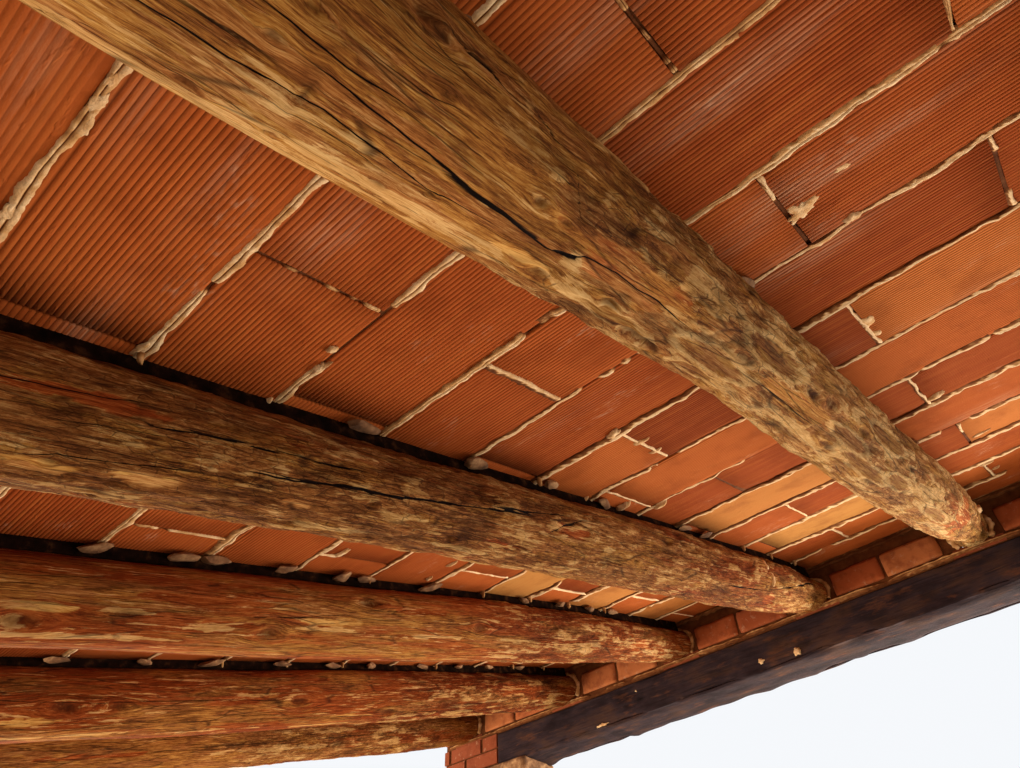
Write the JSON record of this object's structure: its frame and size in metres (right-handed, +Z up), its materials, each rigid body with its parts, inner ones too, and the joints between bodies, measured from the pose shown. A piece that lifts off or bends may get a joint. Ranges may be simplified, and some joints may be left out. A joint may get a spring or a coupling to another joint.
{
  "type": "log and clay-plank roof bay of a traditional house",
  "caption": "Sloping roof bay seen from below: peeled pole rafters on dark hewn beams carry a deck of ribbed hollow clay planks under a mortar screed, with brick beam-fill.",
  "frame": {"origin": "middle of the high beam's flat underside", "axes": "+X along the beams to the right as seen from under the roof, +Y level, towards the high beam, +Z up; the roof rises towards +Y"},
  "size_m": [4.12, 4.5407, 1.8608],
  "materials": {
    "pole_wood": "peeled, weathered softwood pole with drying cracks and bark rests",
    "beam_wood": "hewn, smoke-darkened timber",
    "clay_plank": "extruded fired clay with a combed face",
    "clay_brick": "fired clay, matt",
    "mortar": "rough lime mortar",
    "stone": "rough pale limestone"
  },
  "bodies": {
    "root": {"log_rafter_1": "pole_wood", "log_rafter_2": "pole_wood", "log_rafter_3": "pole_wood", "log_rafter_4": "pole_wood", "log_rafter_5": "pole_wood", "log_rafter_6": "pole_wood", "log_packing_1": "mortar", "log_packing_2": "mortar", "log_packing_3": "mortar", "log_packing_4": "mortar", "log_packing_5": "mortar", "log_packing_6": "mortar", "plank_course_01": "clay_plank", "plank_course_02": "clay_plank", "plank_course_03": "clay_plank", "plank_course_04": "clay_plank", "plank_course_05": "clay_plank", "plank_course_06": "clay_plank", "plank_course_07": "clay_plank", "plank_course_08": "clay_plank", "plank_course_09": "clay_plank", "plank_course_10": "clay_plank", "plank_course_11": "clay_plank", "plank_course_12": "clay_plank", "plank_course_13": "clay_plank", "plank_course_14": "clay_plank", "plank_course_15": "clay_plank", "plank_course_16": "clay_plank", "plank_course_17": "clay_plank", "plank_course_18": "clay_plank", "mortar_screed": "mortar", "head_beam": "beam_wood", "foot_beam": "beam_wood", "seat_tiles": "clay_brick", "fill_bricks": "clay_brick", "head_fill_mortar": "mortar", "foot_fill_mortar": "mortar", "pier_bricks": "clay_brick", "pier_mortar": "mortar", "pad_stones": "stone"}
  },
  "joints": []
}
